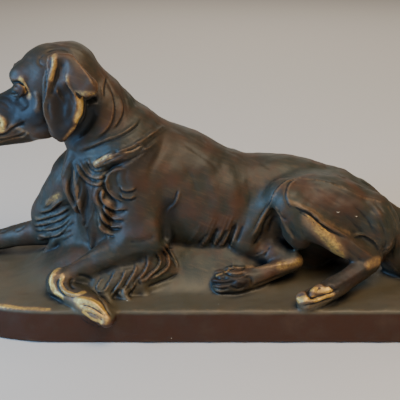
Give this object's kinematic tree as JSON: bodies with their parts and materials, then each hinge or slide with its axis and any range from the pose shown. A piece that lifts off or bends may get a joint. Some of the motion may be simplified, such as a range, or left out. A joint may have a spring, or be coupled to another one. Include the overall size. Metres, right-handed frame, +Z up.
{
  "type": "dog statue",
  "caption": "Cast statue of a long-haired hunting dog lying with its head raised on a low plinth, one forepaw hanging over the plinth's front edge.",
  "frame": {"origin": "middle of the plinth's flat underside", "axes": "+X along the plinth from the head end towards the tail, -Y towards the side the dog's paws come out on, +Z up"},
  "size_m": [0.6099, 0.2158, 0.306],
  "materials": {
    "bronze": "dark brown patinated bronze, satin, rubbed to gold on the paws, hocks and ear"
  },
  "bodies": {
    "root": {"hunting_dog_statue": "bronze"}
  },
  "joints": []
}
